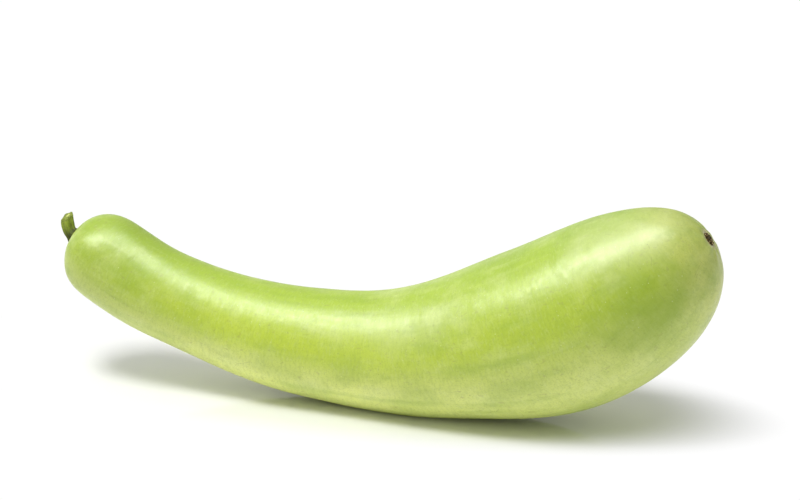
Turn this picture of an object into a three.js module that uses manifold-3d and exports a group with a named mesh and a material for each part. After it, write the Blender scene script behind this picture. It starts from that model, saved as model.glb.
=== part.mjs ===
// A long, curved bottle gourd lying on its belly. Millimetres, +Z up.
// The origin is the middle of the flat spot that the gourd rests on, +X runs from the stem end to the
// blossom end, and -Y is the outer side. Each piece is turned straight, as on a lathe, and then bent
// along a curve.
import * as THREE from "three";
import { mergeVertices } from "three/addons/utils/BufferGeometryUtils.js";
import Module from "manifold-3d";

const wasm = await Module();
wasm.setup();

// ---- Driving dimensions of the fruit ----
// The line through the middle of the flesh, from the stem end to the blossom end: along, side, up.
const FRUIT_LINE = [
  [-242, 0, 89],
  [-178, 0, 57],
  [-113, 0, 40],
  [-40, 0, 34],
  [35, 0, 46],
  [104, 2, 73],
  [170, -3, 123],
];
// Distance along that line and diameter there, before the ends are rounded.
const FRUIT_GIRTH = [
  [0, 57],
  [32, 57.8],
  [104, 59],
  [165, 68],
  [214, 74],
  [250, 83],
  [283, 93],
  [316, 103],
  [355, 109],
  [455, 109],
];
const SHOULDER = { length: 31, fullness: 2.35 }; // the stem end: fullness 2 is an ellipse, more is blunter
const BLOSSOM_END = { length: 114, fullness: 2.3 };
const DIMPLE = { radius: 10, depth: 0.8, rim: 1, turn: 2 }; // hollow round the scar, and the turn into it
const SEAT = { radius: 4.6, depth: 1, draft: 0.3 }; // pit in the dimple, which the scar fills
const LOBES = { count: 5, height: 0.5, start: 3, peak: 14, end: 48 }; // soft ribs on the shoulder
// Folds round the dimple, unevenly spaced.
const PUCKERS = { count: 9, height: 0.18, start: 5.5, peak: 9, end: 26, wobble: 0.4 };
// Slow unevenness along the body, which starts later on one side, and fades out near the ends.
const SWELLING = { height: 0.45, spacing: 96, twist: 1.3, turn: 0.6, fadeStart: 10, fadeEnd: 60 };
const LEAN_BACK = THREE.MathUtils.degToRad(6); // the plane of the curve leans away from the outer side
const FLAT = { x: -15.5, y: 3.6, z: -1.47 }; // middle of the flat spot, 2 mm into the leaned belly

// ---- Driving dimensions of the stem and the scar ----
// The stem's line from its root inside the shoulder to its cut end, measured from the fruit's stem end.
const STEM_LINE = [
  [4, 0, -2],
  [0, 0, 0],
  [-3.8, 0, 3.2],
  [-5.5, 0, 8],
  [-5.6, 0, 12.4],
  [-4.8, 0, 16.6],
];
const STEM_GIRTH = [
  [0, 12],
  [4.5, 10.6],
  [7.5, 8.6],
  [11, 8.2],
  [15, 8.4],
  [19, 7.2],
  [23, 5.4],
];
const STEM_TIP = { length: 1.5, fullness: 2.4 };
const STEM_CUT = { normal: [-0.27, -0.52, 0.81], middle: [-5.8, 0, 13.2] }; // the oblique cut end
// Five ribs, which fade out near the axis and grow into toes on the foot.
const STEM_RIBS = { count: 5, height: 0.35, fadeStart: 0.5, fadeEnd: 3, toes: 0.9, toeStart: 3, toeEnd: 8 };
const SCAR = { radius: 4.2, thickness: 1.5, ragged: 0.25, raggedStart: 0.3, lumps: 7 };
// The scar's half section from the bottom's edge to near the middle: inwards from its radius, upwards.
const SCAR_SECTION = [
  [0.5, 0],
  [0.3, 0.6],
  [0.5, 1.25],
  [1.2, 1.5],
  [2.4, 1.15],
  [3.2, 1.35],
];
const GAP = 0.3; // clearance between pieces that touch

const SIDES = { fruit: 60, stem: 30, scar: 28 };

// ---- Helpers ----
const { smoothstep } = THREE.MathUtils;

function lineThrough(points) {
  const line = new THREE.CatmullRomCurve3(
    points.map((point) => new THREE.Vector3(...point)),
    false,
    "catmullrom",
    0.5,
  );
  line.arcLengthDivisions = 1200;
  return line;
}

// A smooth value between the rows [distance, value] of a table.
function smoothValue(table, distance) {
  const last = table.length - 1;
  let row = 0;
  while (row < last - 1 && distance > table[row + 1][0]) row++;
  const slope = (k) => {
    const [before, after] = [table[Math.max(k - 1, 0)], table[Math.min(k + 1, last)]];
    return (after[1] - before[1]) / (after[0] - before[0]);
  };
  const width = table[row + 1][0] - table[row][0];
  const t = (distance - table[row][0]) / width;
  return (
    table[row][1] * (1 + 2 * t) * (1 - t) ** 2 +
    table[row + 1][1] * t * t * (3 - 2 * t) +
    width * (slope(row) * t * (1 - t) ** 2 - slope(row + 1) * t * t * (1 - t))
  );
}

// A rounded end as steps from its pole (turn 0) to its full girth (turn 1): share of the length that
// is left to the full girth, and share of the full radius.
function roundedEnd({ fullness }, turn) {
  const angle = (turn * Math.PI) / 2;
  return [Math.cos(angle) ** (2 / fullness), Math.sin(angle) ** (2 / fullness)];
}

// Rises from 0 at start to 1 at peak, and falls to 0 again at end.
function hump({ start, peak, end }, at) {
  return smoothstep(at, start, peak) * (1 - smoothstep(at, peak, end));
}

// Turns a profile of [radius, distance], raises its surface by relief(distance, radius, angle) along its
// normal, and bends its axis along a line. Angle 0 is up, and a quarter turn is the outer side.
function turnedAndBent(profile, sides, line, relief) {
  const turned = new THREE.LatheGeometry(
    profile.map(([radius, distance]) => new THREE.Vector2(radius, distance)),
    sides,
  );
  const length = line.getLength();
  const outward = new THREE.Vector3(0, -1, 0);
  const frames = new Map();
  const frameAt = (distance) => {
    const key = distance.toFixed(3);
    if (!frames.has(key)) {
      const share = THREE.MathUtils.clamp(distance / length, 0, 1);
      const along = line.getTangentAt(share);
      const side = outward.clone().addScaledVector(along, -outward.dot(along)).normalize();
      frames.set(key, { centre: line.getPointAt(share), side, up: side.clone().cross(along) });
    }
    return frames.get(key);
  };
  const { position, normal } = turned.attributes;
  const point = new THREE.Vector3();
  const raised = new THREE.Vector3();
  for (let i = 0; i < position.count; i++) {
    point.fromBufferAttribute(position, i);
    const radius = Math.hypot(point.x, point.z);
    const angle = radius > 1e-6 ? Math.atan2(point.x, point.z) : 0;
    raised.fromBufferAttribute(normal, i).multiplyScalar(relief(point.y, radius, angle));
    if (radius > 1e-6) point.add(raised);
    const { centre, side, up } = frameAt(point.y);
    const bent = centre.clone().addScaledVector(side, point.x).addScaledVector(up, point.z);
    position.setXYZ(i, bent.x, bent.y, bent.z);
  }
  turned.deleteAttribute("normal");
  turned.deleteAttribute("uv");
  return mergeVertices(turned, 1e-4);
}

function solidOf(geometry) {
  return new wasm.Manifold(
    new wasm.Mesh({
      numProp: 3,
      vertProperties: geometry.attributes.position.array,
      triVerts: new Uint32Array(geometry.index.array),
    }),
  );
}

function geometryOf(solid) {
  const { vertProperties, triVerts } = solid.getMesh();
  const geometry = new THREE.BufferGeometry();
  geometry.setAttribute("position", new THREE.BufferAttribute(vertProperties, 3));
  geometry.setIndex(new THREE.BufferAttribute(triVerts, 1));
  geometry.computeVertexNormals();
  return geometry;
}

// From the plane of the curve to where the gourd lies: leaned back, with the flat spot at the origin.
function laidDown(geometry) {
  return geometry.rotateX(-LEAN_BACK).translate(-FLAT.x, -FLAT.y, -FLAT.z);
}

// ---- Fruit ----
const fruitLine = lineThrough(FRUIT_LINE);
const fruitLength = fruitLine.getLength();

// The profile, grown all over by an amount that the stem's seat needs.
function fruitProfile(grown) {
  const steps = { shoulder: 12, body: 38, blossom: 18, dimple: 4 };
  const profile = [];
  const girth = (distance) => smoothValue(FRUIT_GIRTH, distance) / 2 + grown;
  for (let i = 0; i < steps.shoulder; i++) {
    const [left, share] = roundedEnd(SHOULDER, i / steps.shoulder);
    const distance = SHOULDER.length - (SHOULDER.length + grown) * left;
    profile.push([girth(distance) * share, distance]);
  }
  const bodyEnd = fruitLength - BLOSSOM_END.length;
  for (let i = 0; i < steps.body; i++) {
    const distance = THREE.MathUtils.lerp(SHOULDER.length, bodyEnd, i / steps.body);
    profile.push([girth(distance), distance]);
  }
  for (let i = steps.blossom; i > 0; i--) {
    const [left, share] = roundedEnd(BLOSSOM_END, i / steps.blossom);
    const distance = bodyEnd + BLOSSOM_END.length * left;
    const radius = girth(distance) * share;
    if (radius > DIMPLE.radius + DIMPLE.turn) profile.push([radius, distance]);
  }
  const hollow = (radius) => {
    const share = Math.min(1, radius / DIMPLE.radius);
    return fruitLength - DIMPLE.depth * (1 - share ** 2) ** 2 - DIMPLE.rim * share ** 2;
  };
  for (let i = steps.dimple; i >= 0; i--) {
    const radius = THREE.MathUtils.lerp(SEAT.radius, DIMPLE.radius, i / steps.dimple);
    profile.push([radius, hollow(radius)]);
  }
  const floor = hollow(0) - SEAT.depth;
  profile.push([SEAT.radius - SEAT.draft, floor], [0, floor]);
  return profile;
}

function fruitRelief(distance, radius, angle) {
  const { spacing, twist, turn, fadeStart, fadeEnd } = SWELLING;
  const fadeOut = smoothstep(distance, fruitLength - fadeEnd, fruitLength);
  const fade = smoothstep(distance, fadeStart, fadeEnd) * (1 - fadeOut);
  const wave = (2 * Math.PI * distance) / spacing + twist * Math.cos(angle + turn);
  const fold = PUCKERS.count * angle + PUCKERS.wobble * Math.sin(2 * angle);
  const nearBlossom = distance > fruitLength / 2 ? hump(PUCKERS, radius) : 0;
  return (
    LOBES.height * Math.cos(LOBES.count * angle) * hump(LOBES, distance) +
    PUCKERS.height * Math.cos(fold) * nearBlossom +
    SWELLING.height * Math.sin(wave) * fade
  );
}

function fruitSolid(grown = 0) {
  return solidOf(turnedAndBent(fruitProfile(grown), SIDES.fruit, fruitLine, fruitRelief));
}

function makeFruit() {
  const geometry = laidDown(geometryOf(fruitSolid()));
  const floor = new THREE.BoxGeometry(200, 100, 20).translate(0, 0, -10);
  for (const name of ["normal", "uv"]) floor.deleteAttribute(name);
  const rested = solidOf(geometry).subtract(solidOf(mergeVertices(floor)));
  return new THREE.Mesh(
    geometryOf(rested),
    new THREE.MeshStandardMaterial({ color: "#a9c358", roughness: 0.38, metalness: 0 }),
  );
}

// ---- Stem ----
function makeStem() {
  const stemEnd = new THREE.Vector3(...FRUIT_LINE[0]);
  const fromStemEnd = (point) => new THREE.Vector3(...point).add(stemEnd);
  const line = lineThrough(STEM_LINE.map((point) => fromStemEnd(point).toArray()));
  const length = line.getLength();
  const profile = [[0, 0]];
  const steps = { shaft: 20, tip: 7 };
  const tipStart = length - STEM_TIP.length;
  for (let i = 0; i < steps.shaft; i++) {
    const distance = (tipStart * i) / steps.shaft;
    profile.push([smoothValue(STEM_GIRTH, distance) / 2, distance]);
  }
  for (let i = steps.tip; i > 0; i--) {
    const [left, share] = roundedEnd(STEM_TIP, i / steps.tip);
    const distance = tipStart + STEM_TIP.length * left;
    profile.push([(smoothValue(STEM_GIRTH, distance) / 2) * share, distance]);
  }
  profile.push([0, length]);
  const relief = (distance, radius, angle) => {
    const { count, height, fadeStart, fadeEnd, toes, toeStart, toeEnd } = STEM_RIBS;
    const toeHeight = toes * (1 - smoothstep(distance, toeStart, toeEnd));
    return (height + toeHeight) * Math.cos(count * angle) * smoothstep(radius, fadeStart, fadeEnd);
  };
  const whole = solidOf(turnedAndBent(profile, SIDES.stem, line, relief));
  const inwards = new THREE.Vector3(...STEM_CUT.normal).normalize().negate();
  const cut = whole.trimByPlane(inwards.toArray(), inwards.dot(fromStemEnd(STEM_CUT.middle)));
  return new THREE.Mesh(
    laidDown(geometryOf(cut.subtract(fruitSolid(GAP)))),
    new THREE.MeshStandardMaterial({ color: "#77843a", roughness: 0.7, metalness: 0 }),
  );
}

// ---- Blossom scar ----
function makeBlossomScar() {
  const bottom = fruitLength - DIMPLE.depth - SEAT.depth + GAP;
  const profile = [
    [0, bottom],
    ...SCAR_SECTION.map(([inwards, upwards]) => [SCAR.radius - inwards, bottom + upwards]),
    [0, bottom + SCAR.thickness],
  ];
  const relief = (distance, radius, angle) => {
    if (radius < SCAR.radius / 2 || distance < bottom + SCAR.raggedStart) return 0;
    return SCAR.ragged * Math.sin(SCAR.lumps * angle + 3 * Math.sin(2 * angle));
  };
  return new THREE.Mesh(
    laidDown(turnedAndBent(profile, SIDES.scar, fruitLine, relief)),
    new THREE.MeshStandardMaterial({ color: "#57431f", roughness: 0.9, metalness: 0 }),
  );
}

const gourd = new THREE.Group();
const pieces = { fruit: makeFruit(), stem: makeStem(), blossom_scar: makeBlossomScar() };
for (const [name, mesh] of Object.entries(pieces)) {
  mesh.name = name;
  gourd.add(mesh);
}

export default gourd;
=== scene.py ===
# A long, curved bottle gourd that lies on its belly on a glossy white studio floor.
# The fruit, its stem and its blossom scar are each drawn as a profile and spun straight along X, get their
# relief there, are bent along a curve, leaned back and laid on the floor. Measures of the gourd are in
# millimetres, and MM turns them into the scene's metres.
import math

import bpy
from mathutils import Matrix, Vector


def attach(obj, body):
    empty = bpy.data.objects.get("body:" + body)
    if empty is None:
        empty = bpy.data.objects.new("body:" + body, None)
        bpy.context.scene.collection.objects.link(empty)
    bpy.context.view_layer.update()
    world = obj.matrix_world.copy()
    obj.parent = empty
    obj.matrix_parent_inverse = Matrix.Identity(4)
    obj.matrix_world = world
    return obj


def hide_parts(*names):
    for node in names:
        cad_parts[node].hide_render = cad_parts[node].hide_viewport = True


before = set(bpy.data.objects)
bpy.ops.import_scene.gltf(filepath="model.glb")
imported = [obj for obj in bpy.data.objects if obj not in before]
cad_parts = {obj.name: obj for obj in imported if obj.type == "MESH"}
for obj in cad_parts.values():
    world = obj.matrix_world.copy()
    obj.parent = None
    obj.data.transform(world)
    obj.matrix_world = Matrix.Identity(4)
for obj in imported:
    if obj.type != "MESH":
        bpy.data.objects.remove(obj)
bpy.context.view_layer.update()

MM = 0.001

# ---- The fruit ----
# The line through the middle of the flesh, from the stem end to the blossom end: along, side, up.
FRUIT_LINE = [
    (-242, 0, 89),
    (-178, 0, 57),
    (-113, 0, 40),
    (-40, 0, 34),
    (35, 0, 46),
    (104, 2, 73),
    (170, -3, 123),
]
# Distance along that line and diameter there, before the ends are rounded.
FRUIT_GIRTH = [
    (0, 57),
    (32, 57.8),
    (104, 59),
    (165, 68),
    (214, 74),
    (250, 83),
    (283, 93),
    (316, 103),
    (355, 109),
    (455, 109),
]
SHOULDER = {"length": 31, "fullness": 2.35}  # the stem end: fullness 2 is an ellipse, more is blunter
BLOSSOM_END = {"length": 114, "fullness": 2.3}
DIMPLE = {"radius": 10, "depth": 0.8, "rim": 1, "turn": 2}  # hollow round the scar, and the turn into it
SEAT = {"radius": 4.6, "depth": 1, "draft": 0.3}  # pit in the dimple, which the scar fills
LOBES = {"count": 5, "height": 0.5, "start": 3, "peak": 14, "end": 48}  # soft ribs on the shoulder
# Folds round the dimple, unevenly spaced.
PUCKERS = {"count": 9, "height": 0.18, "start": 5.5, "peak": 9, "end": 26, "wobble": 0.4}
# Slow unevenness along the body, which starts later on one side, and fades out near the ends.
SWELLING = {"height": 0.45, "spacing": 96, "twist": 1.3, "turn": 0.6, "fade_start": 10, "fade_end": 60}
LEAN_BACK = math.radians(6)  # the plane of the curve leans away from the outer side
FLAT = (-15.5, 3.6, -1.47)  # middle of the flat spot, 2 mm into the leaned belly

# ---- The stem and the scar ----
# The stem's line from its root inside the shoulder to its cut end, measured from the fruit's stem end.
STEM_LINE = [(4, 0, -2), (0, 0, 0), (-3.8, 0, 3.2), (-5.5, 0, 8), (-5.6, 0, 12.4), (-4.8, 0, 16.6)]
STEM_GIRTH = [(0, 12), (4.5, 10.6), (7.5, 8.6), (11, 8.2), (15, 8.4), (19, 7.2), (23, 5.4)]
# The oblique cut end: its direction on the straight stem, how far it crosses the axis before the line's
# end, and its rings from the edge to the middle: inwards, outwards.
STEM_CUT = {
    "normal": (0.76, 0.5, -0.38),
    "setback": 3.6,
    "rings": [(0.4, 0.4), (0.5, 0.25), (0.4, 0.05), (0.25, -0.35)],
}
# Five ribs, which fade out near the axis and grow into toes on the foot.
STEM_RIBS = {
    "count": 5,
    "height": 0.35,
    "fade_start": 0.5,
    "fade_end": 3,
    "toes": 0.9,
    "toe_start": 3,
    "toe_end": 8,
}
SCAR = {"radius": 4.2, "thickness": 1.5, "ragged": 0.25, "ragged_start": 0.3, "lumps": 7}
# The scar's half section from the bottom's edge to near the middle: inwards from its radius, upwards.
SCAR_SECTION = [(0.5, 0), (0.3, 0.6), (0.5, 1.25), (1.2, 1.5), (2.4, 1.15), (3.2, 1.35)]
GAP = 0.3  # the scar's clearance over the floor of its pit

# ---- The camera, the floor and the lights, in metres and degrees ----
CAMERA = {"azimuth": 18, "elevation": 16, "distance": 1.156, "target": (-0.0023, 0, 0.1021), "lens": 85}
FLOOR_RADIUS = 6
# The floor is lit from below, but for an oval round the gourd: half axes, and how many times larger the
# oval is where the glow is full.
UNLIT = {"middle": (-0.06, 0.035, 0), "length": 0.21, "width": 0.075, "fade": 1.45, "glow": 1.02}
# White walls, brightest in that direction, and dimmest where the angle to it has that cosine or less.
SURROUNDINGS = {"direction": (-0.3, 0, 0.95), "dimmest_at": -0.2, "dim": 0.24, "bright": 0.6}
# A soft round glow on them: its direction, and the cosines of the angles of its edge and its middle.
BACKDROP = {"direction": (-0.72, 0.69, 0), "edge": 0.78, "middle": 0.93, "strength": 0.6}


# ---- Shaping ----
def select_only(piece):
    bpy.ops.object.select_all(action="DESELECT")
    piece.select_set(True)
    bpy.context.view_layer.objects.active = piece


def finished_with(piece, modifier_type, **settings):
    """Adds a modifier to the piece and applies it."""
    select_only(piece)
    modifier = piece.modifiers.new(modifier_type.title(), modifier_type)
    for setting, value in settings.items():
        setattr(modifier, setting, value)
    bpy.ops.object.modifier_apply(modifier=modifier.name)


def smoothstep(value, start, end):
    t = min(1, max(0, (value - start) / (end - start)))
    return t * t * (3 - 2 * t)


def smooth_value(table, distance):
    """A smooth value between the rows (distance, value) of a table."""
    last = len(table) - 1
    row = 0
    while row < last - 1 and distance > table[row + 1][0]:
        row += 1

    def slope(k):
        before, after = table[max(k - 1, 0)], table[min(k + 1, last)]
        return (after[1] - before[1]) / (after[0] - before[0])

    width = table[row + 1][0] - table[row][0]
    t = (distance - table[row][0]) / width
    return (
        table[row][1] * (1 + 2 * t) * (1 - t) ** 2
        + table[row + 1][1] * t * t * (3 - 2 * t)
        + width * (slope(row) * t * (1 - t) ** 2 - slope(row + 1) * t * t * (1 - t))
    )


def rounded_end(fullness, turn):
    """A rounded end from its pole (turn 0) to its full girth (turn 1): shares of its length and radius."""
    angle = turn * math.pi / 2
    return math.cos(angle) ** (2 / fullness), math.sin(angle) ** (2 / fullness)


def hump(shape, at):
    """Rises from 0 at the start to 1 at the peak, and falls to 0 again at the end."""
    return smoothstep(at, shape["start"], shape["peak"]) * (1 - smoothstep(at, shape["peak"], shape["end"]))


def curve_through(name, points, twist_mode):
    """A curve through the points with no corners: each handle is a sixth of the way between neighbours."""
    bpy.ops.object.select_all(action="DESELECT")
    bpy.ops.curve.primitive_bezier_curve_add()
    curve = bpy.context.object
    curve.name = name
    curve.data.resolution_u = 64
    curve.data.twist_mode = twist_mode
    spots = [Vector(point) * MM for point in points]
    spots = [2 * spots[0] - spots[1], *spots, 2 * spots[-1] - spots[-2]]
    knots = curve.data.splines[0].bezier_points
    knots.add(len(points) - len(knots))
    for before, spot, after, knot in zip(spots, spots[1:], spots[2:], knots):
        knot.handle_left_type = knot.handle_right_type = "FREE"
        knot.co = spot
        knot.handle_left = spot - (after - before) / 6
        knot.handle_right = spot + (after - before) / 6
    return curve


def spun(name, profile, sides):
    """Draws the profile of (distance, radius) point by point and spins it round the X axis."""
    bpy.ops.object.select_all(action="DESELECT")
    bpy.ops.mesh.primitive_plane_add(size=MM)
    piece = bpy.context.object
    piece.name = piece.data.name = name
    bpy.ops.object.mode_set(mode="EDIT")
    bpy.ops.mesh.merge(type="CENTER")
    bpy.ops.transform.translate(value=(profile[0][0] * MM, 0, profile[0][1] * MM))
    for (distance, radius), (next_distance, next_radius) in zip(profile, profile[1:]):
        step = ((next_distance - distance) * MM, 0, (next_radius - radius) * MM)
        bpy.ops.mesh.extrude_vertices_move(TRANSFORM_OT_translate={"value": step})
    bpy.ops.mesh.select_all(action="SELECT")
    bpy.ops.mesh.spin(steps=sides, angle=2 * math.pi, center=(0, 0, 0), axis=(1, 0, 0))
    bpy.ops.mesh.select_all(action="SELECT")
    bpy.ops.mesh.remove_doubles(threshold=0.01 * MM)
    bpy.ops.mesh.normals_make_consistent(inside=False)
    bpy.ops.object.mode_set(mode="OBJECT")
    bpy.ops.object.shade_smooth()
    return piece


def raised(piece, height, formula):
    """Raises the surface along its normals by height times formula(distance, radius, angle), and sinks it
    where that is negative. Angle 0 is up, and a quarter turn is the outer side."""
    shares = []
    for vertex in piece.data.vertices:
        x, y, z = vertex.co / MM
        shares.append(formula(x, math.hypot(y, z), math.atan2(-y, z)))
    for sign in (1, -1):
        group = piece.vertex_groups.new(name="relief")
        for index, share in enumerate(shares):
            if sign * share > 0:
                group.add([index], sign * share, "REPLACE")
        finished_with(piece, "DISPLACE", vertex_group=group.name, strength=sign * height * MM, mid_level=0)
        piece.vertex_groups.clear()


def made_uneven(piece, size, height):
    """Lays soft bumps of that size and height over the surface."""
    clouds = bpy.data.textures.new(piece.name + ".bumps", "CLOUDS")
    clouds.noise_scale = size * MM
    finished_with(piece, "DISPLACE", texture=clouds, texture_coords="LOCAL", strength=height * MM)
    bpy.data.textures.remove(clouds)


def kept_straight(piece):
    """Keeps each point's place on the straight piece, which the patterns follow after it is bent."""
    attribute = piece.data.attributes.new("straight", "FLOAT_VECTOR", "POINT")
    for vertex, value in zip(piece.data.vertices, attribute.data):
        value.vector = vertex.co


def laid_down(piece):
    """Leans the piece back and moves the middle of the flat spot to the origin."""
    select_only(piece)
    bpy.ops.object.mode_set(mode="EDIT")
    bpy.ops.mesh.select_all(action="SELECT")
    bpy.ops.transform.rotate(value=LEAN_BACK, orient_axis="X", center_override=(0, 0, 0))
    bpy.ops.transform.translate(value=[-offset * MM for offset in FLAT])
    bpy.ops.mesh.select_all(action="DESELECT")
    bpy.ops.object.mode_set(mode="OBJECT")


def bent_and_laid(piece, curve):
    kept_straight(piece)
    finished_with(piece, "CURVE", object=curve, deform_axis="POS_X")
    laid_down(piece)


# ---- Finishes ----
def linear(hex_colour):
    """An sRGB hex colour as the linear RGBA that shaders take."""
    channels = [int(hex_colour[i : i + 2], 16) / 255 for i in (1, 3, 5)]
    return [*(c / 12.92 if c <= 0.04045 else ((c + 0.055) / 1.055) ** 2.4 for c in channels), 1]


def new_material(name):
    """A material with no nodes in it yet."""
    material = bpy.data.materials.new(name)
    material.use_nodes = True
    material.node_tree.nodes.clear()
    return material


def add_node(owner, node_type, links=None, **settings):
    """Adds a node to a material or a world. Links gives its inputs a value or another node's output."""
    node = owner.node_tree.nodes.new(node_type)
    for setting, value in settings.items():
        setattr(node, setting, value)
    for socket, value in (links or {}).items():
        if isinstance(value, bpy.types.NodeSocket):
            owner.node_tree.links.new(value, node.inputs[socket])
        else:
            node.inputs[socket].default_value = value
    return node


def straight_place(material):
    """Each point's place on the straight piece, in mm, so that patterns follow the bent gourd."""
    straight = add_node(material, "ShaderNodeAttribute", attribute_name="straight")
    place = add_node(
        material, "ShaderNodeVectorMath", {0: straight.outputs["Vector"], "Scale": 1 / MM}, operation="SCALE"
    )
    return place.outputs["Vector"]


def across(material, spot):
    """The distance from the gourd's middle line."""
    flat = add_node(material, "ShaderNodeVectorMath", {0: spot, 1: (0, 1, 1)}, operation="MULTIPLY")
    radius = add_node(material, "ShaderNodeVectorMath", {0: flat.outputs["Vector"]}, operation="LENGTH")
    return radius.outputs["Value"]


def stretched_noise(material, spot, size, along, around, detail, roughness):
    """A noise of that size in mm, so many times longer along the gourd and round it."""
    squeezed = add_node(
        material,
        "ShaderNodeVectorMath",
        {0: spot, 1: (1 / along, 1 / around, 1 / around)},
        operation="MULTIPLY",
    )
    noise = add_node(
        material,
        "ShaderNodeTexNoise",
        {"Vector": squeezed.outputs["Vector"], "Scale": 1 / size, "Detail": detail, "Roughness": roughness},
    )
    return noise.outputs["Fac"]


def tinted(material, colour, tint, value, low, high, amount):
    """Mixes the tint into the colour by up to that amount, as the value goes from low to high."""
    share = add_node(
        material,
        "ShaderNodeMapRange",
        {"Value": value, "From Min": low, "From Max": high, "To Max": amount},
        interpolation_type="SMOOTHSTEP",
    )
    mix = add_node(
        material, "ShaderNodeMix", {0: share.outputs[0], 6: colour, 7: linear(tint)}, data_type="RGBA"
    )
    return mix.outputs[2]


def layered(material, spot, colour, layers):
    """Lays tints over the colour where a noise is high. Each layer: tint, size in mm, how many times longer
    it is along the gourd and round it, where the noise starts and is full, and the most it covers."""
    for tint, size, along, around, low, high, amount in layers:
        noise = stretched_noise(material, spot, size, along, around, detail=3, roughness=0.55)
        colour = tinted(material, colour, tint, noise, low, high, amount)
    return colour


def waxy_rind(length):
    """Rind of a fresh bottle gourd: living green cells under a thin, smooth cuticle of wax. The wax
    gives a broad soft gloss. The cells give faint clouds a few centimetres wide, fine streaks round the
    girth, soft bands along the swollen half, and specks. Plant wax has an IOR of about 1.45."""
    rind = new_material("waxy_rind")
    spot = straight_place(rind)
    axes = add_node(rind, "ShaderNodeSeparateXYZ", {0: spot})
    along = axes.outputs["X"]
    # How far up the side a point is: 1 on the top line, -1 on the belly line.
    upness = add_node(
        rind, "ShaderNodeMath", {0: axes.outputs["Z"], 1: across(rind, spot)}, operation="DIVIDE"
    )
    # The belly is paler, partly its own colour and partly painted light bounced up from the floor. The upper
    # side is greener, so are the shoulder and the swollen half, and the tip round the blossom scar is pale
    # and yellowish.
    colour = linear("#c1d446")
    colour = tinted(rind, colour, "#e6ef8a", upness.outputs[0], 0.1, -0.6, 1)
    colour = tinted(rind, colour, "#aac63c", upness.outputs[0], 0.2, 1, 0.9)
    # Partly painted shade: the shoulder's green is darker where shade fell over the neck.
    colour = tinted(rind, colour, "#8ba637", along, 150, 20, 0.45)
    colour = tinted(rind, colour, "#93b038", along, length - 230, length - 110, 0.22)
    colour = tinted(rind, colour, "#86a426", along, length - 85, length - 45, 0.2)
    # Partly painted light: the pale tip round the blossom scar is lightened as if lit by a white reflector.
    colour = tinted(rind, colour, "#d2d878", along, length - 36, length - 10, 0.6)
    clouds = (
        ("#8cab30", 30, 1.3, 1, 0.46, 0.72, 0.3),
        ("#dce79a", 24, 1.2, 1, 0.5, 0.74, 0.3),
        ("#93b138", 9, 7, 1, 0.46, 0.8, 0.45),
        ("#d3e08c", 7, 9, 1, 0.5, 0.8, 0.3),
        ("#8ba53c", 1.6, 1, 3, 0.4, 0.8, 0.22),
        ("#dbe5ae", 1.4, 1, 2.5, 0.45, 0.85, 0.18),
        ("#7f9a35", 0.9, 1, 1, 0.45, 0.8, 0.3),
        ("#8f8a52", 2.6, 1.6, 1, 0.62, 0.72, 0.25),
    )
    colour = layered(rind, spot, colour, clouds)
    # Broad soft patches: pale ones on the bend of the neck and on the swollen half, which are painted
    # highlights, and a deeper green one below the last.
    blotches = add_node(rind, "ShaderNodeTexNoise", {"Vector": spot, "Scale": 1 / 16, "Detail": 3})
    # Each patch: tint, middle, half its length along the gourd, half its breadth, and the most it covers.
    for tint, middle, half_length, half_breadth, amount in (
        ("#e6f0cc", (246, -36, 22), 70, 20, 0.16),
        ("#e6efb0", (416, -32, 30), 58, 31, 0.36),
        ("#8fad12", (412, -42, -16), 56, 26, 0.62),
    ):
        offset = add_node(rind, "ShaderNodeVectorMath", {0: spot, 1: middle}, operation="SUBTRACT")
        shares = add_node(
            rind,
            "ShaderNodeVectorMath",
            {0: offset.outputs["Vector"], 1: (1 / half_length, 1 / half_breadth, 1 / half_breadth)},
            operation="MULTIPLY",
        )
        reach = add_node(rind, "ShaderNodeVectorMath", {0: shares.outputs["Vector"]}, operation="LENGTH")
        uneven = add_node(
            rind, "ShaderNodeMath", {0: reach.outputs["Value"], 1: blotches.outputs["Fac"]}, operation="ADD"
        )
        colour = tinted(rind, colour, tint, uneven.outputs[0], 1.7, 0.6, amount)
    # Pale specks and a few brown pits, one at most in each cell of a scattered pattern. Each kind: tint, the
    # cells' size and the speck's radius in mm, the share of the cells that have one, and the most it covers.
    for tint, spacing, size, chosen, amount in (
        ("#e4ecb8", 3.2, 0.42, 0.3, 0.5),
        ("#5f6b2a", 7, 0.36, 0.5, 0.75),
    ):
        cells = add_node(rind, "ShaderNodeTexVoronoi", {"Vector": spot, "Scale": 1 / spacing})
        pick = add_node(rind, "ShaderNodeSeparateColor", {0: cells.outputs["Color"]})
        bare = add_node(rind, "ShaderNodeMath", {0: pick.outputs[0], 1: chosen}, operation="GREATER_THAN")
        beyond = add_node(
            rind, "ShaderNodeMath", {0: cells.outputs["Distance"], 1: bare.outputs[0]}, operation="ADD"
        )
        edge = size / spacing
        colour = tinted(rind, colour, tint, beyond.outputs[0], edge, edge * 0.3, amount)
    # Hairline scratches, along a few edges of large scattered cells.
    seams = add_node(
        rind, "ShaderNodeTexVoronoi", {"Vector": spot, "Scale": 1 / 34}, feature="DISTANCE_TO_EDGE"
    )
    rubbed = add_node(rind, "ShaderNodeTexNoise", {"Vector": spot, "Scale": 1 / 18})
    spared = add_node(
        rind,
        "ShaderNodeMapRange",
        {"Value": rubbed.outputs["Fac"], "From Min": 0.6, "From Max": 0.56},
    )
    scratch = add_node(
        rind, "ShaderNodeMath", {0: seams.outputs["Distance"], 1: spared.outputs[0]}, operation="ADD"
    )
    colour = tinted(rind, colour, "#8a8f4c", scratch.outputs[0], 0.006, 0.002, 0.22)
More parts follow.
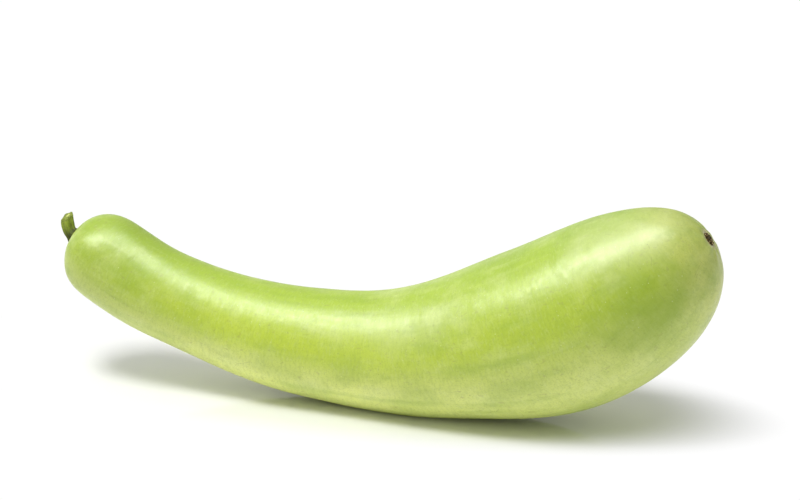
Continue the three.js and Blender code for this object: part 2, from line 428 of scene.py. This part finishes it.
    # A pale, yellowish ring round the foot of the stem, and a tan one round the blossom scar.
    stem_end = add_node(rind, "ShaderNodeVectorMath", {0: spot}, operation="LENGTH")
    colour = tinted(rind, colour, "#c9cb78", stem_end.outputs["Value"], 12, 6.5, 0.6)
    blossom_end = add_node(rind, "ShaderNodeVectorMath", {0: spot, 1: (length, 0, 0)}, operation="DISTANCE")
    crumbs = add_node(rind, "ShaderNodeTexNoise", {"Vector": spot, "Scale": 1 / 1.6, "Detail": 3})
    frayed = add_node(
        rind,
        "ShaderNodeMath",
        {0: crumbs.outputs["Fac"], 1: 7, 2: blossom_end.outputs["Value"]},
        operation="MULTIPLY_ADD",
    )
    colour = tinted(rind, colour, "#dad09a", frayed.outputs[0], 11.4, 8.8, 0.75)
    # The relief: broad soft facets, streaks round the girth and pores. Each: its size in mm, how many times
    # longer it is round the girth, and its height in mm.
    height = 0
    for size, around, rise in ((10, 3, 0.5), (1.8, 4, 0.02), (0.9, 1, 0.022)):
        noise = stretched_noise(rind, spot, size, 1, around, detail=2, roughness=0.5)
        higher = add_node(rind, "ShaderNodeMath", {0: noise, 1: rise, 2: height}, operation="MULTIPLY_ADD")
        height = higher.outputs[0]
    bump = add_node(rind, "ShaderNodeBump", {"Height": height, "Strength": 1, "Distance": MM})
    gloss = add_node(rind, "ShaderNodeTexNoise", {"Vector": spot, "Scale": 1 / 3.5, "Detail": 4})
    roughness = add_node(
        rind,
        "ShaderNodeMapRange",
        {"Value": gloss.outputs["Fac"], "From Min": 0.25, "From Max": 0.75, "To Min": 0.28, "To Max": 0.46},
    )
    surface = add_node(
        rind,
        "ShaderNodeBsdfPrincipled",
        {
            "Base Color": colour,
            "Roughness": roughness.outputs[0],
            "IOR": 1.45,
            "Normal": bump.outputs["Normal"],
            "Subsurface Weight": 0.15,
            "Subsurface Radius": (1, 0.9, 0.4),
            "Subsurface Scale": 3 * MM,
        },
    )
    add_node(rind, "ShaderNodeOutputMaterial", {"Surface": surface.outputs["BSDF"]})
    return rind


def fibrous_stalk(length):
    """Cut stalk of the gourd: green fibres under a thin dull skin, with painted shade darkening the furrows
    and the foot. The cut end shows moist pale pith inside a ring of fibres."""
    stalk = new_material("fibrous_stalk")
    spot = straight_place(stalk)
    axes = add_node(stalk, "ShaderNodeSeparateXYZ", {0: spot})
    angle = add_node(
        stalk, "ShaderNodeMath", {0: axes.outputs["Y"], 1: axes.outputs["Z"]}, operation="ARCTAN2"
    )
    turns = add_node(
        stalk, "ShaderNodeMath", {0: angle.outputs[0], 1: STEM_RIBS["count"]}, operation="MULTIPLY"
    )
    ridge = add_node(stalk, "ShaderNodeMath", {0: turns.outputs[0]}, operation="COSINE")
    # Painted shade: the furrows between the ribs are darker.
    colour = tinted(stalk, linear("#86992a"), "#56640f", ridge.outputs[0], 0, -1, 0.7)
    fibres = (
        ("#8a9840", 3.5, 1.5, 1, 0.45, 0.7, 0.6),
        ("#4f5f14", 0.7, 8, 1, 0.45, 0.75, 0.6),
        ("#9aa650", 0.6, 9, 1, 0.5, 0.75, 0.4),
        ("#6a5f2c", 1.2, 1, 1, 0.58, 0.7, 0.6),
    )
    colour = layered(stalk, spot, colour, fibres)
    # Painted shade: the foot, where the stalk meets the shoulder, is darkest.
    colour = tinted(stalk, colour, "#353a05", axes.outputs["X"], 14, 6, 0.9)
    normal = Vector(STEM_CUT["normal"]).normalized()
    depth = add_node(stalk, "ShaderNodeVectorMath", {0: spot, 1: normal}, operation="DOT_PRODUCT")
    cut = depth.outputs["Value"]
    edge = normal.x * (length - STEM_CUT["setback"])
    # Towards the cut the stalk is fresher and paler, and the cut itself has a green rim and pale pith.
    colour = tinted(stalk, colour, "#95a43c", cut, edge - 6, edge - 1.5, 0.35)
    colour = tinted(stalk, colour, "#7d8a32", cut, edge - 0.5, edge - 0.2, 0.8)
    below = add_node(
        stalk,
        "ShaderNodeMapRange",
        {"Value": cut, "From Min": edge - 1, "From Max": edge - 0.7, "To Min": 9, "To Max": 0},
    )
    middle = add_node(
        stalk, "ShaderNodeMath", {0: across(stalk, spot), 1: below.outputs[0]}, operation="ADD"
    )
    colour = tinted(stalk, colour, "#c3cc74", middle.outputs[0], 1.8, 0.8, 0.8)
    grain = add_node(stalk, "ShaderNodeTexNoise", {"Vector": spot, "Scale": 1 / 0.8, "Detail": 3})
    bump = add_node(
        stalk, "ShaderNodeBump", {"Height": grain.outputs["Fac"], "Strength": 1, "Distance": 0.25 * MM}
    )
    surface = add_node(
        stalk,
        "ShaderNodeBsdfPrincipled",
        {"Base Color": colour, "Roughness": 0.7, "IOR": 1.33, "Normal": bump.outputs["Normal"]},
    )
    add_node(stalk, "ShaderNodeOutputMaterial", {"Surface": surface.outputs["BSDF"]})
    return stalk


def dry_cork():
    """Dried blossom scar: dead brown cork, dull and crumbly, with tan fibre ends among the dark crumbs."""
    cork = new_material("dry_cork")
    spot = straight_place(cork)
    crumbs = (
        ("#1a1204", 1.4, 1, 1, 0.4, 0.55, 0.95),
        ("#cdb783", 1.0, 1, 1, 0.56, 0.63, 0.9),
        ("#7c8238", 1.7, 1, 1, 0.6, 0.7, 0.5),
    )
    colour = layered(cork, spot, linear("#604c1c"), crumbs)
    grain = add_node(cork, "ShaderNodeTexNoise", {"Vector": spot, "Scale": 1 / 0.7, "Detail": 4})
    bump = add_node(
        cork, "ShaderNodeBump", {"Height": grain.outputs["Fac"], "Strength": 1, "Distance": 0.5 * MM}
    )
    surface = add_node(
        cork,
        "ShaderNodeBsdfPrincipled",
        {"Base Color": colour, "Roughness": 0.9, "IOR": 1.3, "Normal": bump.outputs["Normal"]},
    )
    add_node(cork, "ShaderNodeOutputMaterial", {"Surface": surface.outputs["BSDF"]})
    return cork


def white_acrylic():
    """Cast white acrylic sheet: polished, so that it mirrors what stands on it at a low angle. Round the
    gourd it is lit from below to pure white."""
    acrylic = new_material("white_acrylic")
    place = add_node(acrylic, "ShaderNodeTexCoord")
    offset = add_node(
        acrylic,
        "ShaderNodeVectorMath",
        {0: place.outputs["Object"], 1: UNLIT["middle"]},
        operation="SUBTRACT",
    )
    shares = add_node(
        acrylic,
        "ShaderNodeVectorMath",
        {0: offset.outputs["Vector"], 1: (1 / UNLIT["length"], 1 / UNLIT["width"], 1)},
        operation="MULTIPLY",
    )
    distance = add_node(acrylic, "ShaderNodeVectorMath", {0: shares.outputs["Vector"]}, operation="LENGTH")
    share = add_node(
        acrylic,
        "ShaderNodeMapRange",
        {"Value": distance.outputs["Value"], "From Min": 1, "From Max": UNLIT["fade"]},
        interpolation_type="SMOOTHSTEP",
    )
    surface = add_node(
        acrylic,
        "ShaderNodeBsdfPrincipled",
        {"Base Color": linear("#f6f6f6"), "Roughness": 0.05, "IOR": 1.49},
    )
    lit = add_node(acrylic, "ShaderNodeEmission", {"Color": linear("#ffffff"), "Strength": UNLIT["glow"]})
    mix = add_node(
        acrylic,
        "ShaderNodeMixShader",
        {0: share.outputs[0], 1: surface.outputs["BSDF"], 2: lit.outputs["Emission"]},
    )
    add_node(acrylic, "ShaderNodeOutputMaterial", {"Surface": mix.outputs["Shader"]})
    return acrylic


# ---- The fruit's shape ----
def fruit_profile(length):
    steps = {"shoulder": 12, "body": 38, "blossom": 18, "dimple": 4}
    profile = []
    for i in range(steps["shoulder"]):
        left, share = rounded_end(SHOULDER["fullness"], i / steps["shoulder"])
        distance = SHOULDER["length"] * (1 - left)
        profile.append((distance, smooth_value(FRUIT_GIRTH, distance) / 2 * share))
    body_end = length - BLOSSOM_END["length"]
    for i in range(steps["body"]):
        distance = SHOULDER["length"] + (body_end - SHOULDER["length"]) * i / steps["body"]
        profile.append((distance, smooth_value(FRUIT_GIRTH, distance) / 2))
    for i in range(steps["blossom"], 0, -1):
        left, share = rounded_end(BLOSSOM_END["fullness"], i / steps["blossom"])
        distance = body_end + BLOSSOM_END["length"] * left
        radius = smooth_value(FRUIT_GIRTH, distance) / 2 * share
        if radius > DIMPLE["radius"] + DIMPLE["turn"]:
            profile.append((distance, radius))

    def hollow(radius):
        share = min(1, radius / DIMPLE["radius"])
        return length - DIMPLE["depth"] * (1 - share**2) ** 2 - DIMPLE["rim"] * share**2

    for i in range(steps["dimple"], -1, -1):
        radius = SEAT["radius"] + (DIMPLE["radius"] - SEAT["radius"]) * i / steps["dimple"]
        profile.append((hollow(radius), radius))
    pit_floor = hollow(0) - SEAT["depth"]
    return [*profile, (pit_floor, SEAT["radius"] - SEAT["draft"]), (pit_floor, 0)]


def make_skin(curve, length):
    skin = spun("skin", fruit_profile(length), sides=64)
    finished_with(skin, "SUBSURF", levels=2, render_levels=2)

    def lobes(distance, radius, angle):
        return math.cos(LOBES["count"] * angle) * hump(LOBES, distance)

    def puckers(distance, radius, angle):
        if distance < length / 2:
            return 0
        fold = PUCKERS["count"] * angle + PUCKERS["wobble"] * math.sin(2 * angle)
        return math.cos(fold) * hump(PUCKERS, radius)

    def swelling(distance, radius, angle):
        fade_in = smoothstep(distance, SWELLING["fade_start"], SWELLING["fade_end"])
        fade_out = smoothstep(distance, length - SWELLING["fade_end"], length)
        twist = SWELLING["twist"] * math.cos(angle + SWELLING["turn"])
        return math.sin(2 * math.pi * distance / SWELLING["spacing"] + twist) * fade_in * (1 - fade_out)

    raised(skin, LOBES["height"], lobes)
    raised(skin, PUCKERS["height"], puckers)
    raised(skin, SWELLING["height"], swelling)
    made_uneven(skin, size=30, height=0.4)
    bent_and_laid(skin, curve)
    for vertex in skin.data.vertices:
        vertex.select = vertex.co.z < 0
    select_only(skin)
    bpy.ops.object.mode_set(mode="EDIT")
    bpy.ops.transform.resize(value=(1, 1, 0), center_override=(0, 0, 0))
    bpy.ops.object.mode_set(mode="OBJECT")
    return skin


def make_stem(curve, length):
    steps = 24
    profile = [(0, 0)]
    for i in range(steps + 1):
        distance = length * i / steps
        profile.append((distance, smooth_value(STEM_GIRTH, distance) / 2))
    beyond = length + STEM_CUT["setback"]
    profile += [(beyond, STEM_GIRTH[-1][1] / 2), (beyond, 0)]
    stem = spun("stalk", profile, sides=40)
    finished_with(stem, "SUBSURF", levels=1, render_levels=1)
    tallest = STEM_RIBS["height"] + STEM_RIBS["toes"]

    def ribs(distance, radius, angle):
        toes = STEM_RIBS["toes"] * (1 - smoothstep(distance, STEM_RIBS["toe_start"], STEM_RIBS["toe_end"]))
        fade = smoothstep(radius, STEM_RIBS["fade_start"], STEM_RIBS["fade_end"])
        return (STEM_RIBS["height"] + toes) / tallest * math.cos(STEM_RIBS["count"] * angle) * fade

    raised(stem, tallest, ribs)
    normal = Vector(STEM_CUT["normal"]).normalized()
    bpy.ops.object.mode_set(mode="EDIT")
    bpy.ops.mesh.select_all(action="SELECT")
    middle = ((length - STEM_CUT["setback"]) * MM, 0, 0)
    bpy.ops.mesh.bisect(plane_co=middle, plane_no=normal, use_fill=True, clear_outer=True)
    for inwards, outwards in STEM_CUT["rings"]:
        bpy.ops.mesh.inset(thickness=inwards * MM, depth=outwards * MM, use_even_offset=False)
    bpy.ops.mesh.select_all(action="DESELECT")
    bpy.ops.object.mode_set(mode="OBJECT")
    bent_and_laid(stem, curve)
    return stem


def make_scar(curve, length):
    bottom = length - DIMPLE["depth"] - SEAT["depth"] + GAP
    section = [(bottom + upwards, SCAR["radius"] - inwards) for inwards, upwards in SCAR_SECTION]
    profile = [(bottom, 0), *section, (bottom + SCAR["thickness"], 0)]
    scar = spun("dry_scar", profile, sides=48)
    finished_with(scar, "SUBSURF", levels=2, render_levels=2)

    def ragged(distance, radius, angle):
        if radius < SCAR["radius"] / 2 or distance < bottom + SCAR["ragged_start"]:
            return 0
        return math.sin(SCAR["lumps"] * angle + 3 * math.sin(2 * angle))

    raised(scar, SCAR["ragged"], ragged)
    made_uneven(scar, size=1.3, height=0.5)
    bent_and_laid(scar, curve)
    return scar


fruit_line = curve_through("fruit_line", FRUIT_LINE, "Z_UP")
fruit_length = fruit_line.data.splines[0].calc_length() / MM
skin = make_skin(fruit_line, fruit_length)
stem_points = [Vector(FRUIT_LINE[0]) + Vector(point) for point in STEM_LINE]
stem_line = curve_through("stem_line", stem_points, "MINIMUM")
stem_length = stem_line.data.splines[0].calc_length() / MM
stem = make_stem(stem_line, stem_length)
bpy.data.objects.remove(stem_line)
scar = make_scar(fruit_line, fruit_length)
bpy.data.objects.remove(fruit_line)

for piece, node, slot, finish in (
    (skin, "fruit", "gourd_skin", waxy_rind(fruit_length)),
    (stem, "stem", "green_stem", fibrous_stalk(stem_length)),
    (scar, "blossom_scar", "corky_scar", dry_cork()),
):
    piece.data.materials.append(finish)
    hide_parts(node)
    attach(piece, "root")


# ---- Floor, lights and camera ----
bpy.ops.object.select_all(action="DESELECT")
bpy.ops.mesh.primitive_circle_add(vertices=96, radius=FLOOR_RADIUS, fill_type="NGON")
floor = bpy.context.object
floor.name = "studio_floor"
floor.data.materials.append(white_acrylic())


def seen_from(azimuth, elevation, distance, target):
    """The place at that distance from the target. Azimuth 0 is in front, on the outer side."""
    a, e = math.radians(azimuth), math.radians(elevation)
    direction = Vector((math.sin(a) * math.cos(e), -math.cos(a) * math.cos(e), math.sin(e)))
    return Vector(target) + distance * direction


def aimed(thing, place, target):
    thing.location = place
    thing.rotation_euler = (Vector(target) - place).to_track_quat("-Z", "Y").to_euler()


bpy.ops.object.camera_add()
camera = bpy.context.object
camera.data.lens = CAMERA["lens"]
place = seen_from(CAMERA["azimuth"], CAMERA["elevation"], CAMERA["distance"], CAMERA["target"])
aimed(camera, place, CAMERA["target"])
bpy.context.scene.camera = camera

# Softboxes: name, place, what it points at, width, depth, brightness, lights surfaces, shows in gloss.
for name, place, target, width, depth, brightness, lit, mirrored in (
    ("overhead", (-0.38, -0.32, 1.15), (0, 0, 0.08), 0.54, 0.32, 20, True, False),
    ("left_gloss", (-0.58, -0.39, 1.12), (0, 0, 0.08), 0.6, 0.7, 12.5, False, True),
    ("right_gloss", (0.06, -0.08, 1.15), (0, 0, 0.08), 0.72, 0.5, 11, False, True),
):
    bpy.ops.object.light_add(type="AREA")
    softbox = bpy.context.object
    softbox.name = name
    softbox.data.shape = "RECTANGLE"
    softbox.data.size = width
    softbox.data.size_y = depth
    softbox.data.energy = brightness * math.pi * width * depth
    softbox.visible_diffuse = lit
    softbox.visible_glossy = mirrored
    aimed(softbox, Vector(place), target)

# White walls, brightest above and on the stem's side, and a lit backdrop behind the stem's side, which the
# floor mirrors.
world = bpy.data.worlds.new("white_studio")
world.use_nodes = True
background = world.node_tree.nodes["Background"]
background.inputs["Color"].default_value = (1, 1, 1, 1)
direction = add_node(world, "ShaderNodeTexCoord")
facing = add_node(
    world,
    "ShaderNodeVectorMath",
    {0: direction.outputs["Generated"], 1: SURROUNDINGS["direction"]},
    operation="DOT_PRODUCT",
)
walls = add_node(
    world,
    "ShaderNodeMapRange",
    {
        "Value": facing.outputs["Value"],
        "From Min": SURROUNDINGS["dimmest_at"],
        "From Max": 1,
        "To Min": SURROUNDINGS["dim"],
        "To Max": SURROUNDINGS["bright"],
    },
)
behind = add_node(
    world,
    "ShaderNodeVectorMath",
    {0: direction.outputs["Generated"], 1: BACKDROP["direction"]},
    operation="DOT_PRODUCT",
)
backdrop = add_node(
    world,
    "ShaderNodeMapRange",
    {
        "Value": behind.outputs["Value"],
        "From Min": BACKDROP["edge"],
        "From Max": BACKDROP["middle"],
        "To Max": BACKDROP["strength"],
    },
)
brightness = add_node(
    world, "ShaderNodeMath", {0: walls.outputs[0], 1: backdrop.outputs[0]}, operation="ADD"
)
world.node_tree.links.new(brightness.outputs[0], background.inputs["Strength"])
bpy.context.scene.world = world
bpy.context.scene.view_settings.view_transform = "Standard"
